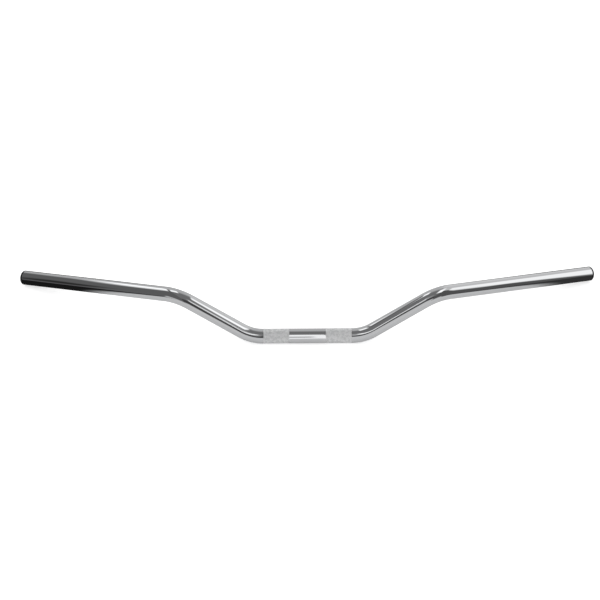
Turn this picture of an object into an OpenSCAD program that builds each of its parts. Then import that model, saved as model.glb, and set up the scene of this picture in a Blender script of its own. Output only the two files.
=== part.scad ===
// Motorcycle handlebar: one bent steel tube, knurled where the clamps grip it, with a plug in each end.
// Lengths are in mm. X runs along the clamp stretch, +Y from it towards the grip ends, +Z is up.
// The bar lies as it would on a table, on its middle and on both grip ends.

/* [Tube] */
// Outside diameter of the tube
tube_d = 22.2; // [20:0.1:30]
// Wall of the tube
tube_wall = 2; // [1.6:0.1:3]
// Straight stretch in the middle, where the clamps hold the bar
clamp_l = 131; // [100:1:180]
// Straight stretch of each riser, between its two bends
riser_l = 86.5; // [50:0.5:150]
// Straight stretch of each grip end, up to the end of the tube
grip_l = 254.5; // [160:0.5:320]
// Edge taken off at each end of the tube, inside and out
end_break = 0.3; // [0.1:0.1:0.6]

/* [Bends] */
// Centre line radius of the bend beside the clamp stretch
rise_r = 65; // [45:1:110]
// Turn of that bend, which lifts the riser
rise_angle = 29.7; // [15:0.1:50]
// Centre line radius of the bend between riser and grip end
sweep_r = 65; // [45:1:110]
// Turn of that bend, which sweeps the grip end back
sweep_angle = 36.1; // [15:0.1:60]
// Angle round the riser from the plane of the first bend to that of the second
sweep_roll = 133.9; // [100:0.1:150]
// Diameter that the tube loses where it is drawn round a bend
bend_draw = 0.03; // [0.02:0.01:0.2]

/* [Knurled bands] */
// Polished stretch between the two bands
polished_l = 54; // [20:1:80]
// Plain stretch between each band and the bend beside it
knurl_margin = 0.5; // [0.5:0.5:5]
// Depth of the grooves
knurl_depth = 0.4; // [0.2:0.05:0.6]
// Height of the points over the plain tube, raised as the knurl is rolled
knurl_lift = 0.05; // [0:0.01:0.09]
// Points around the tube
knurl_around = 36; // [24:1:38]
// Groove crossings along a band
knurl_along = 36; // [16:2:38]

/* [End plugs] */
// Straight edge of the head, as wide as the tube
plug_rim = 2; // [0.8:0.1:4]
// Rounding between that edge and the domed face
plug_round = 0.8; // [0.3:0.1:1.5]
// Rise of the domed face over the rounding
plug_dome = 0.7; // [0.3:0.1:3]
// Plain end of the stem past its last rib
stem_tail = 2.9; // [1.5:0.1:20]
// Wall of the hollow stem
plug_wall = 1.5; // [1:0.1:3]
// Solid floor between the head and the hollow
plug_floor = 1.2; // [0.8:0.1:3]
// Space between the stem and the bore
stem_gap = 0.9; // [0.4:0.1:1.5]
// Space between the ribs of the stem and the bore
rib_gap = 0.05; // [0.02:0.01:0.2]
// Ribs around the stem
rib_count = 4; // [2:1:6]
// Distance from one rib to the next
rib_pitch = 3.4; // [2.2:0.1:6]
// Length of one rib along the stem
rib_l = 1.8; // [1:0.1:2]

/* [Hidden] */
$fn = 96;

tube_r = tube_d / 2;
bore_d = tube_d - 2 * tube_wall;
bore_r = bore_d / 2;

// A straight stretch reaches this far over the slimmer bend beside it
seam_lap = 0.4;
// A cutting tool runs this far past what it cuts
cut_past = 1;

// Bed of the knurl: the tube is turned down to it, and the rolled ring covers it
knurl_l = (clamp_l - polished_l) / 2 - knurl_margin;
knurl_point_r = tube_r + knurl_lift;
knurl_valley_r = knurl_point_r - knurl_depth;
bed_drop = 0.05;
bed_r = knurl_valley_r * cos(90 / knurl_around) - bed_drop;
// The ring reaches this deep into the bed, and this far under the plain tube at each end
ring_root = 0.4;
ring_lap = 0.05;

stem_r = bore_r - stem_gap;
rib_r = bore_r - rib_gap;
// Distance from the head to the first rib
first_rib = 1.5;
stem_l = first_rib + rib_count * rib_pitch + stem_tail;
stem_nose = 0.6;
// A rib is steep towards the head, flat on top and slopes down towards the nose
rib_rise_l = 0.4;
rib_top_l = 0.4;
arc_steps = 8;

// Centre line of the +X side, with the first bend in the XZ plane
up_dir = [cos(rise_angle), 0, sin(rise_angle)];
up_side = [-sin(rise_angle), 0, cos(rise_angle)];
sweep_side = sin(sweep_roll) * [0, 1, 0] + cos(sweep_roll) * up_side;
grip_dir = cos(sweep_angle) * up_dir + sin(sweep_angle) * sweep_side;
riser_start = [clamp_l / 2 + rise_r * sin(rise_angle), 0, rise_r * (1 - cos(rise_angle))];
riser_end = riser_start + riser_l * up_dir;
grip_start = riser_end + sweep_r * sin(sweep_angle) * up_dir + sweep_r * (1 - cos(sweep_angle)) * sweep_side;
rim_end = grip_start + (grip_l + plug_rim) * grip_dir;

// Angle that the bar is laid over by, about X, so that the rim of each plug comes
// down to the table that the points of the knurl lie on. A few rounds settle it.
rim_angle = atan2(rim_end.z, rim_end.y);
rim_reach = norm([rim_end.y, rim_end.z]);
function tilted_z(v, lay) = v.z * cos(lay) - v.y * sin(lay);
function rim_height(lay) = tube_r * sqrt(1 - pow(tilted_z(grip_dir, lay), 2)) - knurl_point_r;
function settled(lay, rounds) =
    rounds == 0 ? lay : settled(rim_angle - asin(rim_height(lay) / rim_reach), rounds - 1);
lay_angle = settled(rim_angle, 6);

// A straight rod along X from the origin, longer by a lap at each end
module straight_rod(d, l, lap_start, lap_end)
    translate([-lap_start, 0, 0]) rotate([0, 90, 0]) cylinder(d = d, h = l + lap_start + lap_end);

// A rod bent from the X axis towards +Z
module bent_rod(d, r, angle)
    translate([0, 0, r]) rotate([90, 90, 0]) rotate_extrude(angle = angle) translate([r, 0]) circle(d = d);

// Places what follows a bend, so that its X axis goes on from the bend's end
module after_bend(r, angle)
    translate([0, 0, r]) rotate([0, -angle, 0]) translate([0, 0, -r]) children();

// Places what follows the second bend of the +X side
module at_grip_start()
    translate([clamp_l / 2, 0, 0]) after_bend(rise_r, rise_angle)
        translate([riser_l, 0, 0]) rotate([-sweep_roll, 0, 0]) after_bend(sweep_r, sweep_angle) children();

module both_sides() {
    children();
    mirror([1, 0, 0]) children();
}

module laid_down() rotate([-lay_angle, 0, 0]) children();

// The whole bent form at one diameter: the tube's outside, or its bore
module bar_form(d, past_end) {
    bend_d = d - bend_draw;
    translate([-clamp_l / 2, 0, 0]) straight_rod(d, clamp_l, seam_lap, seam_lap);
    both_sides() {
        translate([clamp_l / 2, 0, 0]) {
            bent_rod(bend_d, rise_r, rise_angle);
            after_bend(rise_r, rise_angle) {
                straight_rod(d, riser_l, seam_lap, seam_lap);
                translate([riser_l, 0, 0]) rotate([-sweep_roll, 0, 0]) bent_rod(bend_d, sweep_r, sweep_angle);
            }
        }
        at_grip_start() straight_rod(d, grip_l + past_end, seam_lap, 0);
    }
}

// What takes the sharp edges off the +X end, outside and in the bore
module end_edges() at_grip_start() translate([grip_l, 0, 0]) rotate([0, 90, 0]) {
    past = end_break + cut_past;
    rotate_extrude() polygon([[tube_r - past, cut_past], [tube_r + cut_past, -past], [tube_r + cut_past, cut_past]]);
    rotate_extrude() polygon([[bore_r + past, cut_past], [bore_r - cut_past, -past], [bore_r - cut_past, cut_past]]);
}

// The stretch of a band turned down to the bed
module knurl_bed()
    translate([polished_l / 2, 0, 0]) rotate([0, 90, 0]) difference() {
        cylinder(r = tube_r + cut_past, h = knurl_l);
        translate([0, 0, -cut_past]) cylinder(r = bed_r, h = knurl_l + 2 * cut_past);
    }

// The rolled ring of a band: a net of points around and along, where points and valleys
// take turns, and each cell is folded along the groove from valley to valley.
module knurl_ring() {
    around = 2 * knurl_around;
    rows = knurl_along;
    start = polished_l / 2 - ring_lap;
    row_step = (knurl_l + 2 * ring_lap) / rows;
    function is_point(row, i) = row > 0 && row < rows && (row + i) % 2 == 1;
    function net_r(row, i) = is_point(row, i) ? knurl_point_r : knurl_valley_r;
    function on_ring(x, r, i) = [x, r * cos(i * 360 / around), r * sin(i * 360 / around)];
    function id(row, i) = row * around + i % around;
    net = [for (row = [0:rows], i = [0:around - 1]) on_ring(start + row * row_step, net_r(row, i), i)];
    inner = [for (end = [0, rows], i = [0:around - 1]) on_ring(start + end * row_step, bed_r - ring_root, i)];
    near_inner = rows + 1;
    far_inner = rows + 2;
    folded = [
        for (row = [0:rows - 1], i = [0:around - 1])
            let (near = id(row, i), next = id(row, i + 1), far = id(row + 1, i), across = id(row + 1, i + 1))
                each (row + i) % 2 == 0
                    ? [[near, far, across], [near, across, next]]
                    : [[near, far, next], [far, across, next]]
    ];
    // The closing faces: both ends and the inside
    closing = [
        for (i = [0:around - 1])
            each [
                [id(near_inner, i), id(0, i), id(0, i + 1), id(near_inner, i + 1)],
                [id(rows, i), id(far_inner, i), id(far_inner, i + 1), id(rows, i + 1)],
                [id(far_inner, i), id(near_inner, i), id(near_inner, i + 1), id(far_inner, i + 1)]
            ]
    ];
    polyhedron(points = concat(net, inner), faces = concat(folded, closing), convexity = 4);
}

module handlebar_tube()
    color("silver") laid_down() {
        difference() {
            bar_form(tube_d, 0);
            bar_form(bore_d, cut_past);
            both_sides() {
                knurl_bed();
                end_edges();
            }
        }
        both_sides() knurl_ring();
    }

// Points of an arc from one angle to another
function arc(centre, r, from, to) = [
    for (k = [0:arc_steps]) let (a = from + (to - from) * k / arc_steps) centre + r * [cos(a), sin(a)]
];

// Half section of a plug: radius across, distance out of the tube up
module plug_section() {
    flat_r = tube_r - plug_round;
    face_h = plug_rim + plug_round;
    dome_r = (pow(flat_r, 2) + pow(plug_dome, 2)) / (2 * plug_dome);
    dome_centre = [0, face_h + plug_dome - dome_r];
    rib_points = [
        for (k = [0:rib_count - 1]) let (y = -first_rib - k * rib_pitch)
            each [[stem_r, y], [rib_r, y - rib_rise_l], [rib_r, y - rib_rise_l - rib_top_l], [stem_r, y - rib_l]]
    ];
    polygon(concat(
        [[0, -plug_floor], [stem_r - plug_wall, -plug_floor], [stem_r - plug_wall, -stem_l]],
        [[stem_r - stem_nose, -stem_l], [stem_r, stem_nose - stem_l]],
        [for (k = [len(rib_points) - 1:-1:0]) rib_points[k]],
        [[stem_r, 0], [tube_r, 0]],
        arc([flat_r, plug_rim], plug_round, 0, 90),
        [for (k = [1:arc_steps]) let (x = flat_r * (1 - k / arc_steps))
            [x, dome_centre.y + sqrt(dome_r * dome_r - x * x)]]
    ));
}

// A plug on the end of the +X grip, its head face to face with the end of the tube
module end_plug() at_grip_start() translate([grip_l, 0, 0]) rotate([0, 90, 0]) rotate_extrude() plug_section();

module right_end_plug() color("dimgray") laid_down() end_plug();

module left_end_plug() color("dimgray") laid_down() mirror([1, 0, 0]) end_plug();

handlebar_tube();
left_end_plug();
right_end_plug();
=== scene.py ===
"""A chromed motorcycle handlebar with knurled clamp bands and black end plugs, on a pale table.

Lengths are in metres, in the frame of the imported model: the origin is in the middle of the clamp
stretch, on the axis of the tube, +X runs along it, +Y towards the grip ends and +Z up.
"""

import logging
import math
from dataclasses import dataclass, field
from enum import Enum

import bpy
import numpy as np
import numpy.typing as npt
from mathutils import Matrix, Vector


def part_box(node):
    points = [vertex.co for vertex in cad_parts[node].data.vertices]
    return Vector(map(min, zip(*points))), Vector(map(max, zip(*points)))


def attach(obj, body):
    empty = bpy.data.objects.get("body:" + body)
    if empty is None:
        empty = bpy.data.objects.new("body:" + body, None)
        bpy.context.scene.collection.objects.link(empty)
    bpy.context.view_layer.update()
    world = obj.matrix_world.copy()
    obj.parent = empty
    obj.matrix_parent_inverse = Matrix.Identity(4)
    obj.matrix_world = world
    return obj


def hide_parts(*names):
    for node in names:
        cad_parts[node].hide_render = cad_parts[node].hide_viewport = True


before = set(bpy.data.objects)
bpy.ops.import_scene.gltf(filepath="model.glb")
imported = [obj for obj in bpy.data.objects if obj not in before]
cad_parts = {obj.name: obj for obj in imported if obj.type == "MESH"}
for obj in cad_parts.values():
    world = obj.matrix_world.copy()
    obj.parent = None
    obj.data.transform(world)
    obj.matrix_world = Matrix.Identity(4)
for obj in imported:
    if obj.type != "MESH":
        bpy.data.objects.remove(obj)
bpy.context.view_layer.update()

Array = npt.NDArray[np.float64]
Corners = npt.NDArray[np.int64]
Flags = npt.NDArray[np.bool_]
MM = 0.001
LOG = logging.getLogger("handlebar")


class Side(Enum):
    """The side of the bar that a piece is on, as the sign of its X."""

    LEFT = -1
    RIGHT = 1


@dataclass(frozen=True)
class Frames:
    """Places along a line: each has a point and three square directions.

    Attributes:
        points: One point a row.
        along: Unit direction of the line at each point.
        up: Unit direction square to the line, which doesn't twist round it.
        across: The third direction, square to both.
    """

    points: Array
    along: Array
    up: Array
    across: Array

    def rings(self, radii: Array) -> Array:
        """Rings of points round the line.

        Point (i, j) is the point i of the line plus radius (i, j) in the direction that makes
        the angle j / columns of a turn with up, turning towards across.

        Args:
            radii: One row for each point of the line, one column for each point of a ring.

        Returns:
            Rows by columns by three coordinates.
        """
        turn = np.linspace(0.0, 2.0 * np.pi, radii.shape[1], endpoint=False)
        outward = (
            np.cos(turn)[None, :, None] * self.up[:, None, :]
            + np.sin(turn)[None, :, None] * self.across[:, None, :]
        )
        return self.points[:, None, :] + radii[:, :, None] * outward


@dataclass(frozen=True)
class Bend:
    """A bend of the tube.

    Attributes:
        radius: Radius of the centre line.
        angle: Turn, in degrees.
        roll: Angle from the plane of the bend before it, in degrees.
    """

    radius: float
    angle: float
    roll: float = 0.0

    @property
    def length(self) -> float:
        """Length of the centre line round the bend."""
        return self.radius * math.radians(self.angle)


@dataclass(frozen=True)
class CentreLine:
    """The centre line of the bar: straight, bend, riser, bend and grip end on each side.

    Attributes:
        clamp_l: Straight stretch in the middle.
        rise: The bend beside it.
        riser_l: Straight stretch between the bends.
        sweep: The bend between riser and grip end.
        grip_l: Straight stretch of the grip end.
        rim_r: Radius of a plug's rim, which rests on the table.
        rim_past: Distance from the end of the tube to the far edge of that rim.
        rest_r: Radius of what the middle rests on, the points of the knurl.
        lay_rounds: Rounds that settle the lay angle.
    """

    clamp_l: float = 131 * MM
    rise: Bend = Bend(65 * MM, 29.7)
    riser_l: float = 86.5 * MM
    sweep: Bend = Bend(65 * MM, 36.1, 133.9)
    grip_l: float = 254.5 * MM
    rim_r: float = 11.1 * MM
    rim_past: float = 2 * MM
    rest_r: float = 11.15 * MM
    lay_rounds: int = 6

    @property
    def knots(self) -> Array:
        """Distances from the middle at which straight stretches and bends begin and end."""
        parts = [self.clamp_l / 2, self.rise.length, self.riser_l, self.sweep.length, self.grip_l]
        return np.cumsum(parts)

    @property
    def half_length(self) -> float:
        """Length of the centre line from the middle to one end."""
        return float(self.knots[-1])

    @staticmethod
    def turned(start: Array, side: Array, angles: Array) -> Array:
        """Turns three directions round a bend.

        The turn is Rodrigues' formula: one, plus sine times the cross matrix of the axis, plus
        one less cosine times its square. The axis is square to the line and to the side that the
        bend curves to.

        Args:
            start: Directions along, up and across at the start of the bend, one a row.
            side: Unit direction that the bend curves to.
            angles: Angles round the bend, in radians.

        Returns:
            The three directions at each angle: angles by three by three.
        """
        axis = np.cross(start[0], side)
        cross = np.array([[0, -axis[2], axis[1]], [axis[2], 0, -axis[0]], [-axis[1], axis[0], 0]])
        sine, rest = np.sin(angles)[:, None, None], (1 - np.cos(angles))[:, None, None]
        turns = np.eye(3) + sine * cross + rest * (cross @ cross)
        return np.einsum("nij,kj->nki", turns, start)

    def right_half(self, distances: Array) -> Frames:
        """Frames on the +X side, with the first bend still in the XZ plane.

        Args:
            distances: Distances from the middle, all positive, in rising order.

        Returns:
            One frame for each distance.
        """
        points = np.zeros((len(distances), 3))
        axes = np.zeros((len(distances), 3, 3))
        corner, start = np.zeros(3), np.array([[1.0, 0, 0], [0, 0, 1.0], [0, -1.0, 0]])
        side = start[1]
        begins = 0.0
        for number, ends in enumerate(self.knots):
            here = (distances >= begins) & (distances <= ends)
            run = distances[here] - begins
            if number % 2 == 0:
                points[here] = corner + run[:, None] * start[0]
                axes[here] = start
                corner = corner + (ends - begins) * start[0]
            else:
                bend = (self.rise, self.sweep)[number // 2]
                roll = math.radians(bend.roll)
                side = math.cos(roll) * side - math.sin(roll) * np.cross(start[0], side)
                angle = np.append(run / bend.radius, math.radians(bend.angle))
                turned = self.turned(start, side, angle)
                offset = bend.radius * (
                    np.sin(angle)[:, None] * start[0] + (1 - np.cos(angle))[:, None] * side
                )
                points[here], axes[here] = corner + offset[:-1], turned[:-1]
                corner, start = corner + offset[-1], turned[-1]
                side = np.cross(np.cross(start[0], side), start[0])
                side = side / np.linalg.norm(side)
            begins = ends
        return Frames(points, axes[:, 0], axes[:, 1], axes[:, 2])

    def lay_angle(self) -> float:
        """Angle about X that brings the rims of the plugs down to the table.

        The rim's lowest point lies below its centre by its radius times the cosine of the slope
        of the grip end. The height of the centre is its reach from the X axis times the sine of
        an angle, so the lay angle follows from an arc sine, and a few rounds settle the slope.

        Returns:
            The angle in radians.
        """
        end = self.right_half(np.array([self.half_length]))
        direction = end.along[0]
        rim = end.points[0] + self.rim_past * direction
        reach, level = math.hypot(rim[1], rim[2]), math.atan2(rim[2], rim[1])
        lay = level
        for _ in range(self.lay_rounds):
            slope = direction[2] * math.cos(lay) - direction[1] * math.sin(lay)
            height = self.rim_r * math.sqrt(1 - slope * slope) - self.rest_r
            lay = level - math.asin(height / reach)
        return lay

    def frames(self, distances: Array) -> Frames:
        """Frames along the whole bar as it lies on the table.

        The left half is the right half mirrored in X, and its direction along the line is
        turned back, so that the directions run on through the middle.

        Args:
            distances: Signed distances from the middle, positive towards +X.

        Returns:
            One frame for each distance.
        """
        order = np.argsort(np.abs(distances), kind="stable")
        half = self.right_half(np.abs(distances)[order])
        back = np.argsort(order, kind="stable")
        lay = self.lay_angle()
        laid = np.array(
            [[1, 0, 0], [0, math.cos(lay), math.sin(lay)], [0, -math.sin(lay), math.cos(lay)]]
        )
        sign = np.where(distances < 0, -1.0, 1.0)[:, None]
        flip = np.concatenate([sign, np.ones_like(sign), np.ones_like(sign)], axis=1)
        points, along, up, across = (
            (v[back] @ laid.T) * flip for v in (half.points, half.along, half.up, half.across)
        )
        return Frames(points, along * sign, up, across)


class SurfaceMaker:
    """Makes Blender meshes of grids of points."""

    @staticmethod
    def grid_faces(rows: int, columns: int, closed_rows: bool) -> Corners:
        """Corners of the four-sided faces of a grid that is closed round its columns.

        Args:
            rows: Number of rings.
            columns: Points in a ring.
            closed_rows: True if the last ring joins the first.

        Returns:
            Four vertex numbers a face, in an order that faces outwards where rings follow
            their line and turn from up to across.
        """
        last = rows if closed_rows else rows - 1
        row, column = np.meshgrid(np.arange(last), np.arange(columns), indexing="ij")
        next_row, next_column = (row + 1) % rows, (column + 1) % columns
        corners = [
            row * columns + column,
            row * columns + next_column,
            next_row * columns + next_column,
            next_row * columns + column,
        ]
        return np.stack(corners, axis=-1).reshape(-1, 4)

    @staticmethod
    def piece(name: str, points: Array, faces: list[Corners], smooth: Flags) -> bpy.types.Object:
        """A new object with its place in its mesh, and sharp edges round its flat faces.

        Args:
            name: Name of the piece.
            points: Vertices, one a row.
            faces: Arrays of faces, each with one number of corners.
            smooth: For each face, whether it is shaded smooth.

        Returns:
            The object, linked to the scene.
        """
        corners = np.concatenate([f.reshape(-1) for f in faces])
        sizes = np.concatenate([np.full(len(f), f.shape[1]) for f in faces])
        starts = np.concatenate([[0], np.cumsum(sizes)[:-1]])
        mesh = bpy.data.meshes.new(name)
        mesh.vertices.add(len(points))
        mesh.vertices.foreach_set("co", points.astype(np.float32).reshape(-1))
        mesh.loops.add(len(corners))
        mesh.loops.foreach_set("vertex_index", corners.astype(np.int32))
        mesh.polygons.add(len(sizes))
        mesh.polygons.foreach_set("loop_start", starts.astype(np.int32))
        mesh.polygons.foreach_set("use_smooth", smooth)
        mesh.update(calc_edges=True)
        edges = np.empty(len(corners), np.int32)
        mesh.loops.foreach_get("edge_index", edges)
        sharp = np.zeros(len(mesh.edges), bool)
        sharp[edges[np.repeat(~smooth, sizes)]] = True
        mesh.attributes.new("sharp_edge", "BOOLEAN", "EDGE").data.foreach_set("value", sharp)
        mesh.validate()
        piece = bpy.data.objects.new(name, mesh)
        bpy.context.scene.collection.objects.link(piece)
        return piece

    @staticmethod
    def attribute(piece: bpy.types.Object, name: str, values: Array) -> None:
        """Gives a piece one number a vertex, for its material to read."""
        layer = piece.data.attributes.new(name, "FLOAT", "POINT")
        layer.data.foreach_set("value", values.astype(np.float32).reshape(-1))


@dataclass(frozen=True)
class Clouds:
    """Soft random clouds in a material, on Object coordinates.

    Attributes:
        scale: Clouds in a metre.
        detail: Layers of finer clouds in them.
        clear: Value of the noise at which a place is still clear.
        full: Value of the noise from which it is full.
    """

    scale: float
    detail: float = 3.0
    clear: float = 0.3
    full: float = 0.7


class NodeSheet:
    """The node tree of one material or of the world, with short ways to add and join nodes."""

    def __init__(self, owner: bpy.types.ID) -> None:
        """Empties the owner's node tree."""
        owner.use_nodes = True
        self.tree = owner.node_tree
        self.tree.nodes.clear()

    def add(self, kind: str, settings: dict | None = None, **inputs: object) -> bpy.types.Node:
        """Adds a node.

        Args:
            kind: Blender's name of the node's type.
            settings: Values of the node's own properties.
            inputs: Values or output sockets for its inputs, by name with _ for a space. A name
                that ends in a number, such as in_1, is an input by place.

        Returns:
            The node.
        """
        node = self.tree.nodes.new(kind)
        for name, value in (settings or {}).items():
            setattr(node, name, value)
        for name, value in inputs.items():
            place = name.removeprefix("in_")
            socket = node.inputs[int(place) if place.isdigit() else name.replace("_", " ")]
            if isinstance(value, bpy.types.NodeSocket):
                self.tree.links.new(value, socket)
            else:
                socket.default_value = value
        return node

    def math(self, operation: str, *values: object) -> bpy.types.NodeSocket:
        """The result of a Math node on numbers or sockets."""
        inputs = {f"in_{i}": v for i, v in enumerate(values)}
        return self.add("ShaderNodeMath", {"operation": operation}, **inputs).outputs[0]

    def between(
        self, value: object, low: float, high: float, at_low: float, at_high: float
    ) -> bpy.types.NodeSocket:
        """A value that goes smoothly from at_low to at_high while another goes from low to high."""
        node = self.add(
            "ShaderNodeMapRange",
            {"interpolation_type": "SMOOTHSTEP"},
            Value=value,
            From_Min=low,
            From_Max=high,
            To_Min=at_low,
            To_Max=at_high,
        )
        return node.outputs[0]

    def mix_colours(self, share: object, first: object, second: object) -> bpy.types.NodeSocket:
        """A mix of two colours, each a triple or a socket, with the share of the second."""
        colours = [(*c, 1.0) if isinstance(c, tuple) else c for c in (first, second)]
        mix = self.add(
            "ShaderNodeMix", {"data_type": "RGBA"}, in_0=share, in_6=colours[0], in_7=colours[1]
        )
        return mix.outputs[2]

    def noise(self, clouds: Clouds) -> bpy.types.NodeSocket:
        """The plain noise of some clouds."""
        place = self.add("ShaderNodeTexCoord").outputs["Object"]
        noise = self.add(
            "ShaderNodeTexNoise", Vector=place, Scale=clouds.scale, Detail=clouds.detail
        )
        return noise.outputs[0]

    def cloudy(self, clouds: Clouds, least: float, most: float) -> bpy.types.NodeSocket:
        """A value that is least where the clouds are clear and most where they are full."""
        return self.between(self.noise(clouds), clouds.clear, clouds.full, least, most)


@dataclass(frozen=True)
class ChromeFinish:
    """Bright chrome plate, polished on the tube and matt where it is knurled.

    Attributes:
        colour: Reflected colour of the polished plate.
        knurl_colour: Colour of the matt plate on the diamonds of the knurl.
        spot_and_groove_shade_colour: Colour painted into the grooves of the knurl as shade, and the
            colour of its duller spots.
        spots: Spots on the knurl where the plate is duller.
        spot_depth: How far those spots come to the colour of the grooves.
        knurl_metal: Share of the knurl's light that is mirrored, where the rest is scattered.
        polish: Least and most roughness of the polished plate.
        polish_clouds: Where the polish is less.
        knurl_rough: Least and most roughness of the plate on the knurl.
        knurl_clouds: Where the knurl is rougher.
        waves: The slight waves that polishing leaves.
        wave_height: Their height.
    """

    colour: tuple[float, float, float] = (0.56, 0.565, 0.575)
    knurl_colour: tuple[float, float, float] = (0.95, 0.955, 0.96)
    spot_and_groove_shade_colour: tuple[float, float, float] = (0.6, 0.605, 0.61)
    spots: Clouds = Clouds(260.0, 2.0, 0.42, 0.62)
    spot_depth: float = 0.75
    knurl_metal: float = 0.6
    polish: tuple[float, float] = (0.012, 0.03)
    polish_clouds: Clouds = Clouds(35.0, 4.0, 0.35)
    knurl_rough: tuple[float, float] = (0.3, 0.45)
    knurl_clouds: Clouds = Clouds(900.0)
    waves: Clouds = Clouds(55.0, 1.0)
    wave_height: float = 0.000004

    def material(self) -> bpy.types.Material:
        """The material, which reads the tube's knurled and groove attributes."""
        made = bpy.data.materials.new("chrome_plate")
        sheet = NodeSheet(made)
        knurled = sheet.add("ShaderNodeAttribute", {"attribute_name": "knurled"}).outputs["Fac"]
        groove = sheet.add("ShaderNodeAttribute", {"attribute_name": "groove"}).outputs["Fac"]
        spots = sheet.cloudy(self.spots, 0.0, self.spot_depth)
        plate = sheet.mix_colours(spots, self.knurl_colour, self.spot_and_groove_shade_colour)
        # Painted shade: the colour darkens with the depth of each point in a groove.
        groove_shaded = sheet.mix_colours(groove, plate, self.spot_and_groove_shade_colour)
        colour = sheet.mix_colours(knurled, self.colour, groove_shaded)
        polish = sheet.cloudy(self.polish_clouds, *self.polish)
        matt = sheet.cloudy(self.knurl_clouds, *self.knurl_rough)
        rough = sheet.add(
            "ShaderNodeMix", {"data_type": "FLOAT"}, in_0=knurled, in_2=polish, in_3=matt
        )
        waves = sheet.noise(self.waves)
        bump = sheet.add("ShaderNodeBump", Strength=1.0, Distance=self.wave_height, Height=waves)
        shader = sheet.add(
            "ShaderNodeBsdfPrincipled",
            Base_Color=colour,
            Metallic=sheet.between(knurled, 0.0, 1.0, 1.0, self.knurl_metal),
            Roughness=rough.outputs[0],
            Normal=bump.outputs[0],
        )
        sheet.add("ShaderNodeOutputMaterial", Surface=shader.outputs[0])
        return made


@dataclass(frozen=True)
class PlugFinish:
    """Black moulded plastic with a soft gloss and a fine grain.

    Attributes:
        colour: Colour of the plastic.
        sheen: Strength of its reflections, with 0.5 for plain plastic.
        rough: Least and most roughness.
        rough_clouds: Where it is rougher.
        grain: The grain that the mould leaves.
        grain_height: Its height.
        grain_strength: How strongly it shows.
    """

    colour: tuple[float, float, float] = (0.004, 0.004, 0.0043)
    sheen: float = 0.3
    rough: tuple[float, float] = (0.26, 0.4)
    rough_clouds: Clouds = Clouds(400.0)
    grain: Clouds = Clouds(2600.0, 2.0)
    grain_height: float = 0.00002
    grain_strength: float = 0.6

    def material(self) -> bpy.types.Material:
        """The material."""
        made = bpy.data.materials.new("black_plastic")
        sheet = NodeSheet(made)
        rough = sheet.cloudy(self.rough_clouds, *self.rough)
        bump = sheet.add(
            "ShaderNodeBump",
            Strength=self.grain_strength,
            Distance=self.grain_height,
            Height=sheet.noise(self.grain),
        )
        shader = sheet.add(
            "ShaderNodeBsdfPrincipled",
            Base_Color=(*self.colour, 1.0),
            Specular_IOR_Level=self.sheen,
            Roughness=rough,
            Normal=bump.outputs[0],
        )
        sheet.add("ShaderNodeOutputMaterial", Surface=shader.outputs[0])
        return made


@dataclass(frozen=True)
class Knurl:
    """A knurled band of crossing grooves between rounded diamonds.

    Attributes:
        start: Distance of the band from the middle of the bar.
        end: Distance of its far end.
        diamonds: Diamonds round the tube.
        samples: Points of the net from one diamond to the next.
        depth: Depth of the grooves.
        ramp: Length over which the rolled metal slopes to the plain tube at each end.
        roundness: Power of the sine that rounds the diamonds, less for flatter tops.
    """

    start: float = 27 * MM
    end: float = 65 * MM
    diamonds: int = 36
    samples: int = 4
    depth: float = 0.4 * MM
    ramp: float = 0.2 * MM
    roundness: float = 0.8

    @property
    def columns(self) -> int:
        """Points round the tube."""
        return self.diamonds * self.samples

    def rows(self, tube_r: float) -> Array:
        """Distances of the rings of the band, as far apart as the points round the tube."""
        first, last = self.start + self.ramp, self.end - self.ramp
        step = 2 * math.pi * tube_r / self.columns * self.samples
        count = round((last - first) / step) * self.samples
        return np.linspace(first, last, count + 1)

    def fullness(self, count: int) -> Array:
        """How full the metal stands at each point, from 0 in a groove to 1 on a diamond.

        With row i and column j, grooves run where i + j and i - j are whole numbers of diamonds.
        The lesser distance to both kinds of groove gives a pyramid, and a sine rounds its top.

        Args:
            count: Number of rings.

        Returns:
            Rings by columns.
        """
        row, column = np.meshgrid(np.arange(count), np.arange(self.columns), indexing="ij")
        half = self.samples / 2
        rising = half - np.abs((row + column) % self.samples - half)
        falling = half - np.abs((row - column) % self.samples - half)
        pyramid = np.minimum(rising, falling) / half
        return np.sin(pyramid * np.pi / 2) ** self.roundness


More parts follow.
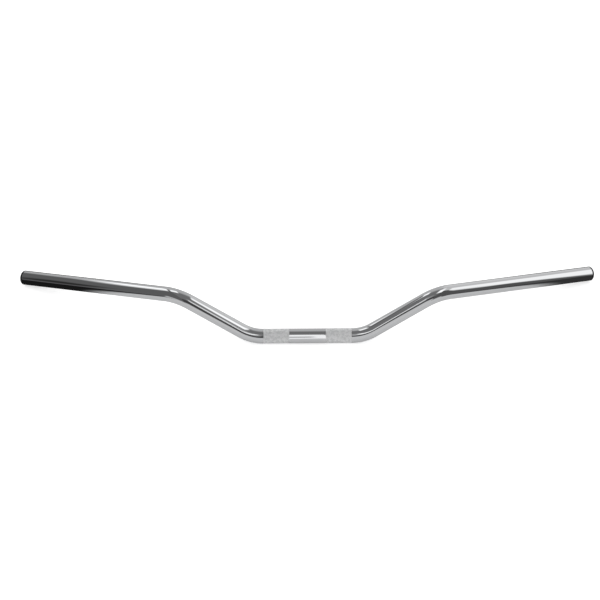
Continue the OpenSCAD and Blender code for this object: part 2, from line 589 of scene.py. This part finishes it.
@dataclass
class ChromedTube:
    """The bent tube: its outside, its two knurled bands, its bore and its ends.

    Attributes:
        line: Centre line.
        outer_r: Outside radius.
        bore_r: Radius of the bore.
        point_r: Radius to the points of the knurl.
        knurl: The band on each side.
        bend_rows: Rings in a turn of one degree, outside.
        bore_rows: Rings in a turn of one degree, in the bore.
        guard: Distance of the extra ring beside each bend, which keeps the shading of the
            straight stretches straight.
        end_break: Edge taken off at each end of the tube, inside and out.
    """

    line: CentreLine
    outer_r: float = 11.1 * MM
    bore_r: float = 9.1 * MM
    point_r: float = 11.15 * MM
    knurl: Knurl = field(default_factory=Knurl)
    bend_rows: float = 0.9
    bore_rows: float = 0.3
    guard: float = 0.3 * MM
    end_break: float = 0.3 * MM

    def bend_stations(self, rows_a_degree: float) -> list[Array]:
        """Distances of the rings round both bends of the +X side, with guard rings beside them."""
        knots = self.line.knots
        stations = []
        for number, bend in enumerate((self.line.rise, self.line.sweep)):
            begins, ends = knots[2 * number], knots[2 * number + 1]
            turn = np.linspace(begins, ends, round(bend.angle * rows_a_degree) + 1)
            stations.append(np.concatenate([[begins - self.guard], turn, [ends + self.guard]]))
        return stations

    def end_stations(self) -> list[float]:
        """Distances of the last rings of the +X side, before and after the broken edge."""
        end = self.line.half_length
        return [end - self.end_break - self.guard, end - self.end_break, end]

    def outside(self) -> tuple[Array, Array, Array, Flags]:
        """The rings of the outside, from the left end to the right end.

        Returns:
            Signed distances, radii, how deep each point lies in a groove, and for each ring
            whether it belongs to the knurl.
        """
        knurl, columns = self.knurl, self.knurl.columns
        band = knurl.rows(self.outer_r)
        full = knurl.fullness(len(band))
        near = np.array([0.0, knurl.start - self.guard, knurl.start])
        bends = self.bend_stations(self.bend_rows)
        beyond = np.concatenate([[knurl.end], *bends, self.end_stations()])
        plain_near, plain_beyond = np.ones((len(near), columns)), np.ones((len(beyond), columns))
        distances = np.concatenate([near, band, beyond])
        radii = np.concatenate(
            [
                plain_near * self.outer_r,
                self.point_r - knurl.depth * (1 - full),
                plain_beyond * self.outer_r,
            ]
        )
        radii[-1] -= self.end_break
        groove = np.concatenate([0 * plain_near, 1 - full, 0 * plain_beyond])
        knurled = np.concatenate([np.zeros(len(near)), np.ones(len(band)), np.zeros(len(beyond))])
        halves = (distances, radii, groove, knurled.astype(bool))
        whole = [np.concatenate([h[:0:-1], h]) for h in halves]
        whole[0][: len(distances) - 1] *= -1
        return whole[0], whole[1], whole[2], whole[3]

    def inside(self) -> Array:
        """Signed distances of the rings of the bore, from the right end to the left end."""
        half = np.concatenate([[0.0], *self.bend_stations(self.bore_rows), self.end_stations()])
        return np.concatenate([half[::-1], -half[1:]])

    def build(self) -> bpy.types.Object:
        """The tube as one closed skin: out along the outside and back through the bore."""
        distances, radii, groove, knurled = self.outside()
        bore = self.inside()
        bore_radii = np.full((len(bore), self.knurl.columns), self.bore_r)
        bore_radii[[0, -1]] += self.end_break
        rings = np.concatenate(
            [self.line.frames(distances).rings(radii), self.line.frames(bore).rings(bore_radii)]
        )
        rows, columns = rings.shape[:2]
        faces = SurfaceMaker.grid_faces(rows, columns, closed_rows=True)
        ring_knurled = np.concatenate([knurled, np.zeros(len(bore), bool)])
        row_smooth = ~(ring_knurled | np.roll(ring_knurled, -1))
        row_smooth[[len(distances) - 1, rows - 1]] = False
        piece = SurfaceMaker.piece(
            "chromed_tube", rings.reshape(-1, 3), [faces], np.repeat(row_smooth, columns)
        )
        no_groove = np.zeros((len(bore), columns))
        # Depth of each point in a groove, which the chrome's material darkens as painted shade.
        SurfaceMaker.attribute(piece, "groove", np.concatenate([groove, no_groove]))
        SurfaceMaker.attribute(piece, "knurled", np.repeat(ring_knurled.astype(float), columns))
        return piece


@dataclass
class EndPlug:
    """A plug in one end of the tube: a domed head and a hollow ribbed stem.

    Attributes:
        line: Centre line of the bar.
        side: The end that the plug is in.
        head_r: Radius of the head.
        rim: Straight edge of the head.
        rounding: Rounding between the edge and the domed face.
        dome: Rise of the domed face over the rounding.
        floor: Solid floor behind the head.
        stem_r: Radius of the stem.
        rib_r: Radius of the ribs.
        wall: Wall of the stem.
        first_rib: Distance from the head to the first rib.
        ribs: Number of ribs.
        rib_pitch: Distance from one rib to the next.
        rib_l: Length of a rib.
        rib_rise: Length over which a rib rises from the stem.
        rib_top: Length of its flat top.
        tail: Plain end of the stem.
        nose: Edge taken off the end of the stem.
        guard: Distance of the extra ring beside the seat of the head, which keeps the shading
            of its edge straight.
        face_points: Points from the middle of the face to its rounding.
        round_points: Points round that rounding.
        crease: Angle between faces from which their edge is sharp, in degrees.
        columns: Points round the plug.
    """

    line: CentreLine
    side: Side
    head_r: float = 11.1 * MM
    rim: float = 2 * MM
    rounding: float = 0.8 * MM
    dome: float = 0.7 * MM
    floor: float = 1.2 * MM
    stem_r: float = 8.2 * MM
    rib_r: float = 9.05 * MM
    wall: float = 1.5 * MM
    first_rib: float = 1.5 * MM
    ribs: int = 4
    rib_pitch: float = 3.4 * MM
    rib_l: float = 1.8 * MM
    rib_rise: float = 0.4 * MM
    rib_top: float = 0.4 * MM
    tail: float = 2.9 * MM
    nose: float = 0.6 * MM
    guard: float = 0.2 * MM
    face_points: int = 12
    round_points: int = 10
    crease: float = 35.0
    columns: int = 128

    def section(self) -> Array:
        """The half section from the middle of the face round to the middle of the floor.

        The face is a low arc, then a quarter round leads to the rim. Ribs step out of the stem.

        Returns:
            One row a point: radius, and distance out of the tube.
        """
        flat_r, face_h = self.head_r - self.rounding, self.rim + self.rounding
        dome_r = (flat_r**2 + self.dome**2) / (2 * self.dome)
        across = np.linspace(0, flat_r, self.face_points)
        rise = face_h + self.dome - dome_r + np.sqrt(dome_r**2 - across**2)
        face = np.stack([across, rise], axis=1)
        turn = np.linspace(np.pi / 2, 0, self.round_points)[1:]
        edge = np.stack([np.cos(turn), np.sin(turn)], axis=1) * self.rounding + [flat_r, self.rim]
        back = np.array([[self.head_r, self.guard], [self.head_r, 0.0], [self.stem_r, 0.0]])
        starts = -self.first_rib - self.rib_pitch * np.arange(self.ribs)
        rib = np.array(
            [
                [self.stem_r, 0],
                [self.rib_r, -self.rib_rise],
                [self.rib_r, -self.rib_rise - self.rib_top],
                [self.stem_r, -self.rib_l],
            ]
        )
        ribs = (rib[None] + np.stack([0 * starts, starts], axis=1)[:, None]).reshape(-1, 2)
        stem_l = self.first_rib + self.ribs * self.rib_pitch + self.tail
        hollow_r = self.stem_r - self.wall
        inside = np.array(
            [
                [self.stem_r, self.nose - stem_l],
                [self.stem_r - self.nose, -stem_l],
                [hollow_r, -stem_l],
                [hollow_r, -self.floor],
                [0, -self.floor],
            ]
        )
        return np.concatenate([face, edge, back, ribs, inside])

    def build(self) -> bpy.types.Object:
        """The plug as one closed turned skin, with a fan of triangles round each pole."""
        section = self.section()
        end = self.line.frames(np.array([self.side.value * self.line.half_length]))
        out = end.along[0] * self.side.value
        middles = end.points[0] + section[:, 1:2] * out
        count = len(section) - 2
        turned = Frames(
            middles[1:-1],
            np.tile(out, (count, 1)),
            np.tile(end.up[0], (count, 1)),
            np.tile(np.cross(out, end.up[0]), (count, 1)),
        )
        rings = turned.rings(np.repeat(section[1:-1, 0:1], self.columns, axis=1))
        points = np.concatenate([rings.reshape(-1, 3), middles[[0]], middles[[-1]]])
        faces = SurfaceMaker.grid_faces(count, self.columns, closed_rows=False)[:, ::-1]
        this = np.arange(self.columns)
        following = (this + 1) % self.columns
        front_pole = np.full(self.columns, len(points) - 2)
        front = np.stack([front_pole, this, following], axis=1)
        last = (count - 1) * self.columns
        back = np.stack([front_pole + 1, last + following, last + this], axis=1)
        smooth = np.ones(len(faces) + len(front) + len(back), bool)
        name = f"{self.side.name.lower()}_plug"
        piece = SurfaceMaker.piece(name, points, [faces, front, back], smooth)
        piece.data.set_sharp_from_angle(angle=math.radians(self.crease))
        return piece


@dataclass(frozen=True)
class Patch:
    """A lighter or darker field with soft edges on a reflection board.

    Attributes:
        middle: Its place across and up the board, or across and deep on the ceiling.
        half: Half its width and half its height.
        brightness: What it adds to the brightness of the board.
        edge: How far its edge is soft, each way.
    """

    middle: tuple[float, float]
    half: tuple[float, float]
    brightness: float
    edge: float

    def add_to(
        self, sheet: NodeSheet, places: tuple[bpy.types.NodeSocket, ...], total: object
    ) -> bpy.types.NodeSocket:
        """Adds the patch to the brightness of its board.

        Each side falls smoothly from one to nothing across the edge, and the two are multiplied.

        Args:
            sheet: Node tree of the board.
            places: The two coordinates on the board.
            total: Brightness so far, as a number or a socket.

        Returns:
            The brightness with the patch.
        """
        sides = []
        for place, middle, half in zip(places, self.middle, self.half):
            past = sheet.math("ABSOLUTE", sheet.math("SUBTRACT", place, middle))
            sides.append(sheet.between(past, half - self.edge, half + self.edge, 1.0, 0.0))
        share = sheet.math("MULTIPLY", *sides)
        return sheet.math("ADD", total, sheet.math("MULTIPLY", share, self.brightness))


class Facing(Enum):
    """The side that a board stands on: its own axis, its sign and the two axes across it."""

    LEFT = (0, -1, 1, 2)
    RIGHT = (0, 1, 1, 2)
    BACK = (1, 1, 0, 2)
    FRONT = (1, -1, 0, 2)
    ABOVE = (2, 1, 0, 1)


@dataclass(frozen=True)
class Board:
    """A reflection board, which only the chrome and other glossy surfaces see.

    Attributes:
        facing: The side that it stands on.
        distance: Its distance from the bar's middle.
        brightness: Brightness where it has no patch, with 1 for white.
        patches: Lighter and darker fields on it.
        span: Its ends across and up, for a board that doesn't close its whole side.
    """

    facing: Facing
    distance: float
    brightness: float
    patches: tuple[Patch, ...] = ()
    span: tuple[tuple[float, float], tuple[float, float]] | None = None

    def build(self, low: tuple[float, float, float], high: tuple[float, float, float]) -> None:
        """Makes the board as wide as its span, or as the space that the boards enclose.

        Args:
            low: Lowest corner of that space.
            high: Highest corner of that space.
        """
        axis, sign, first, second = self.facing.value
        ends = self.span or ((low[first], high[first]), (low[second], high[second]))
        corners = np.empty((4, 3))
        corners[:, axis] = sign * self.distance
        corners[:, first] = np.array(ends[0])[[0, 1, 1, 0]]
        corners[:, second] = np.array(ends[1])[[0, 0, 1, 1]]
        name = f"{self.facing.name.lower()}_{'card' if self.span else 'board'}"
        mesh = bpy.data.meshes.new(name)
        mesh.from_pydata(corners.tolist(), [], [(0, 1, 2, 3)])
        board = bpy.data.objects.new(name, mesh)
        bpy.context.scene.collection.objects.link(board)
        board.visible_camera = board.visible_diffuse = board.visible_shadow = False
        face = bpy.data.materials.new(name)
        sheet = NodeSheet(face)
        place = sheet.add("ShaderNodeTexCoord").outputs["Object"]
        parts = sheet.add("ShaderNodeSeparateXYZ", in_0=place).outputs
        total: object = self.brightness
        for patch in self.patches:
            total = patch.add_to(sheet, (parts[first], parts[second]), total)
        light = sheet.add("ShaderNodeEmission", Strength=sheet.math("MAXIMUM", total, 0.0))
        sheet.add("ShaderNodeOutputMaterial", Surface=light.outputs[0])
        mesh.materials.append(face)


@dataclass
class Studio:
    """The pale table, the light round it and the boards that the chrome reflects.

    Attributes:
        table_z: Height of the table's top.
        table_size: Side of the table.
        table_colour: Grey of the table.
        camera_glow: Light that the table adds to what the camera sees of it, which makes it white.
        chrome_glow: The same for what the chrome reflects.
        sheet_ends: Where the white sheet ends to the left and right for the chrome, beside the
            clamp stretch.
        sheet_slants: Run of each end in X for its run in Y.
        sheet_edge: How far those ends are soft, each way.
        beyond: Brightness of the table past the left and the right end, for the chrome.
        daylight: Brightness of the light from all round.
        boards: The reflection boards.
    """

    table_z: float
    table_size: float = 24.0
    table_colour: float = 0.8
    camera_glow: float = 0.6
    chrome_glow: float = 0.15
    sheet_ends: tuple[float, float] = (-0.37, 0.43)
    sheet_slants: tuple[float, float] = (0.45, -0.5)
    sheet_edge: float = 0.035
    beyond: tuple[float, float] = (0.015, 0.05)
    daylight: float = 0.9
    boards: tuple[Board, ...] = (
        Board(
            Facing.LEFT,
            0.7,
            0.17,
            (
                # White card that the left grip end reflects as a stripe.
                Patch((0.62, 0.84), (0.35, 0.31), 1.2, 0.1),
                # Grey screen behind it.
                Patch((1.1, 0.5), (0.55, 0.7), 0.5, 0.15),
                # Black stand low beside the bar.
                Patch((-0.04, 0.13), (0.09, 0.08), -0.13, 0.05),
                # Edge of the white sheet, in front.
                Patch((-0.9, 0.05), (0.5, 0.15), 0.6, 0.05),
            ),
        ),
        Board(
            Facing.RIGHT,
            0.85,
            0.85,
            (
                # Black screen over the whole front half.
                Patch((-0.76, 0.7), (0.7, 0.9), -0.72, 0.04),
                # Window that the right grip end reflects as a stripe.
                Patch((0.2, 0.5), (0.26, 0.37), 0.7, 0.07),
                # Its upper corner.
                Patch((-0.1, 0.6), (0.05, 0.2), 0.6, 0.03),
                # Edge of the white sheet, in front.
                Patch((-1.1, 0.05), (0.3, 0.15), 0.6, 0.05),
            ),
        ),
        # Pale wall behind, lighter on the right.
        Board(Facing.BACK, 1.1, 0.7, (Patch((0.8, 0.5), (0.5, 0.6), 0.25, 0.15),)),
        Board(
            Facing.FRONT,
            1.45,
            0.08,
            (
                # White sheet, which rises a little in front, higher on the right.
                Patch((-0.75, 0.1), (0.75, 0.2), 0.8, 0.12),
                Patch((0.75, 0.25), (0.75, 0.35), 0.8, 0.15),
                # Lamps over the camera and on its left.
                Patch((0.03, 1.45), (0.13, 0.1), 0.4, 0.03),
                Patch((0.07, 1.3), (0.08, 0.12), 0.5, 0.03),
                Patch((-0.08, 0.97), (0.035, 0.1), 0.4, 0.02),
            ),
        ),
        # Narrow white card before the clamp stretch, with a grey band over its left part.
        Board(
            Facing.FRONT,
            0.7,
            1.5,
            (Patch((-0.04, 0.31), (0.055, 0.1), -1.1, 0.01),),
            ((-0.045, 0.045), (0.0, 1.1)),
        ),
        Board(
            Facing.ABOVE,
            1.5,
            0.25,
            (
                # Large soft lamp on the right, weaker behind the bar.
                Patch((0.8, 0.0), (0.3, 0.45), 1.5, 0.08),
                Patch((0.85, 0.8), (0.25, 0.35), 0.85, 0.08),
                # Lighter ceiling over the camera, and a lamp in it.
                Patch((0.2, -1.05), (0.3, 0.3), 0.22, 0.08),
                Patch((0.12, -1.3), (0.17, 0.15), 0.35, 0.05),
                # Lamp behind the bar on the left.
                Patch((-0.44, 0.78), (0.23, 0.38), 1.45, 0.05),
                # Lighter ceiling between the lamps.
                Patch((0.15, 0.95), (0.38, 0.35), 0.3, 0.1),
            ),
        ),
    )

    def table(self) -> None:
        """The table, which is white to the camera and keeps the bar's shadow.

        The paint is matt. It glows a little for the camera and for the chrome. For the chrome
        it is white between the ends of the sheet and dark beyond them, smoothly in between.
        """
        half = self.table_size / 2
        mesh = bpy.data.meshes.new("table_top")
        corners = [(-half, -half), (half, -half), (half, half), (-half, half)]
        mesh.from_pydata([(x, y, self.table_z) for x, y in corners], [], [(0, 1, 2, 3)])
        top = bpy.data.objects.new("table_top", mesh)
        bpy.context.scene.collection.objects.link(top)
        paint = bpy.data.materials.new("table_paint")
        sheet = NodeSheet(paint)
        path = sheet.add("ShaderNodeLightPath").outputs
        place = sheet.add("ShaderNodeTexCoord").outputs["Object"]
        place = sheet.add("ShaderNodeSeparateXYZ", in_0=place).outputs
        past = []
        for end, slant, ends in zip(self.sheet_ends, self.sheet_slants, ((1.0, 0.0), (0.0, 1.0))):
            along = sheet.math("SUBTRACT", place[0], sheet.math("MULTIPLY", place[1], slant))
            past.append(sheet.between(along, end - self.sheet_edge, end + self.sheet_edge, *ends))
        beyond = sheet.math("MULTIPLY", sheet.math("ADD", *past), path["Is Glossy Ray"])
        dimmed = [sheet.math("MULTIPLY", *pair) for pair in zip(past, self.beyond)]
        glow = sheet.math(
            "ADD",
            sheet.math("MULTIPLY", path["Is Camera Ray"], self.camera_glow),
            sheet.math("MULTIPLY", path["Is Glossy Ray"], self.chrome_glow),
        )
        light = sheet.add("ShaderNodeEmission", Strength=glow)
        grey = sheet.add("ShaderNodeBsdfDiffuse", Color=(*[self.table_colour] * 3, 1.0))
        white = sheet.add("ShaderNodeAddShader", in_0=grey.outputs[0], in_1=light.outputs[0])
        dark = sheet.add("ShaderNodeEmission", Strength=sheet.math("ADD", *dimmed))
        looks = {"in_0": beyond, "in_1": white.outputs[0], "in_2": dark.outputs[0]}
        seen = sheet.add("ShaderNodeMixShader", **looks)
        sheet.add("ShaderNodeOutputMaterial", Surface=seen.outputs[0])
        mesh.materials.append(paint)

    def sky(self) -> None:
        """Even light from all round, which the camera sees as white."""
        world = bpy.data.worlds.new("even_light")
        bpy.context.scene.world = world
        sheet = NodeSheet(world)
        camera = sheet.add("ShaderNodeLightPath").outputs["Is Camera Ray"]
        light = sheet.add(
            "ShaderNodeBackground",
            Color=(1.0, 1.0, 1.0, 1.0),
            Strength=sheet.between(camera, 0.0, 1.0, self.daylight, 1.0),
        )
        sheet.add("ShaderNodeOutputWorld", Surface=light.outputs[0])

    def build(self) -> None:
        """Makes the table, the light and the boards, and sets how the picture is shown."""
        self.table()
        self.sky()
        reach = {board.facing: board.distance for board in self.boards if not board.span}
        low = (-reach[Facing.LEFT], -reach[Facing.FRONT], self.table_z)
        high = (reach[Facing.RIGHT], reach[Facing.BACK], reach[Facing.ABOVE])
        for board in self.boards:
            board.build(low, high)
        bpy.context.scene.view_settings.view_transform = "Standard"


@dataclass(frozen=True)
class PhotoCamera:
    """The camera at the photograph's place.

    Attributes:
        distance: Depth of the middle of the clamp stretch in front of the camera.
        elevation: Angle that the camera looks down by, in degrees.
        yaw: Turn of the bar in the picture's depth, in degrees.
        roll: Turn of the bar in the picture, in degrees.
        middle_right: How far right of the picture's middle the bar's middle lies.
        middle_below: How far below it lies.
        focal_px: Focal length in pixels of the photograph.
        picture_px: Width of the photograph in pixels.
        sensor_mm: Width of the camera's sensor.
        clip: Nearest and farthest depth that it sees.
    """

    distance: float = 1.8
    elevation: float = 40.99
    yaw: float = -0.16
    roll: float = 0.41
    middle_right: float = 11.2 * MM
    middle_below: float = 53.0 * MM
    focal_px: float = 1215.9
    picture_px: int = 600
    sensor_mm: float = 36.0
    clip: tuple[float, float] = (0.01, 100.0)

    def build(self) -> None:
        """Makes the camera and makes it the scene's own.

        Yaw and roll turn the bar against the picture's axes right, depth and up. The camera
        stands where the bar's middle has its place in the picture, and the elevation tips the
        whole about X into the frame of the table.
        """
        yaw, roll, tip = (math.radians(a) for a in (self.yaw, self.roll, self.elevation))
        turned = np.array(
            [[math.cos(yaw), -math.sin(yaw), 0], [math.sin(yaw), math.cos(yaw), 0], [0, 0, 1]]
        )
        rolled = np.array(
            [[math.cos(roll), 0, -math.sin(roll)], [0, 1, 0], [math.sin(roll), 0, math.cos(roll)]]
        )
        tipped = np.array(
            [[1, 0, 0], [0, math.cos(tip), math.sin(tip)], [0, -math.sin(tip), math.cos(tip)]]
        )
        right, depth, up = (rolled @ turned) @ tipped.T
        middle = np.array([self.middle_right, self.distance, -self.middle_below])
        matrix = np.eye(4)
        matrix[:3, :3] = np.stack([right, up, -depth], axis=1)
        matrix[:3, 3] = -(np.stack([right, depth, up], axis=1) @ middle)
        data = bpy.data.cameras.new("photo_camera")
        data.sensor_width = self.sensor_mm
        data.lens = self.focal_px / self.picture_px * self.sensor_mm
        data.clip_start, data.clip_end = self.clip
        camera = bpy.data.objects.new("photo_camera", data)
        camera.matrix_world = Matrix(matrix.tolist())
        bpy.context.scene.collection.objects.link(camera)
        bpy.context.scene.camera = camera


@dataclass
class Handlebar:
    """The whole bar: the tube and a plug in each end."""

    line: CentreLine = field(default_factory=CentreLine)

    @staticmethod
    def dress(
        piece: bpy.types.Object, node: str, slot: str, finish: bpy.types.Material
    ) -> None:
        """Puts a piece in the place of its CAD node and gives it its finish.

        Args:
            piece: The new piece.
            node: The CAD node that it stands for.
            slot: The record's material slot; not used.
            finish: The material.
        """
        piece.data.materials.append(finish)
        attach(piece, "root")
        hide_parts(node)
        low, high = (np.array(corner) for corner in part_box(node))
        places = np.array([v.co for v in piece.data.vertices])
        past = np.concatenate([low - places.min(axis=0), places.max(axis=0) - high]).max() / MM
        count = len(piece.data.polygons)
        LOG.info("%s: %d faces, %.3f mm past its solid", piece.name, count, past)

    def build(self) -> None:
        """Builds the tube first and then the plugs."""
        tube, chrome = ChromedTube(self.line).build(), ChromeFinish().material()
        self.dress(tube, "handlebar_tube", "handlebar_tube", chrome)
        plastic = PlugFinish().material()
        for side in Side:
            node = f"{side.name.lower()}_end_plug"
            self.dress(EndPlug(self.line, side).build(), node, "end_plug", plastic)


def main() -> None:
    """Builds the bar, the studio and the camera in order."""
    logging.basicConfig(level=logging.INFO, format="%(name)s: %(message)s")
    bar = Handlebar()
    bar.build()
    Studio(table_z=-bar.line.rest_r).build()
    LOG.info("studio built")
    PhotoCamera().build()
    LOG.info("camera built")


if __name__ == "__main__":
    main()
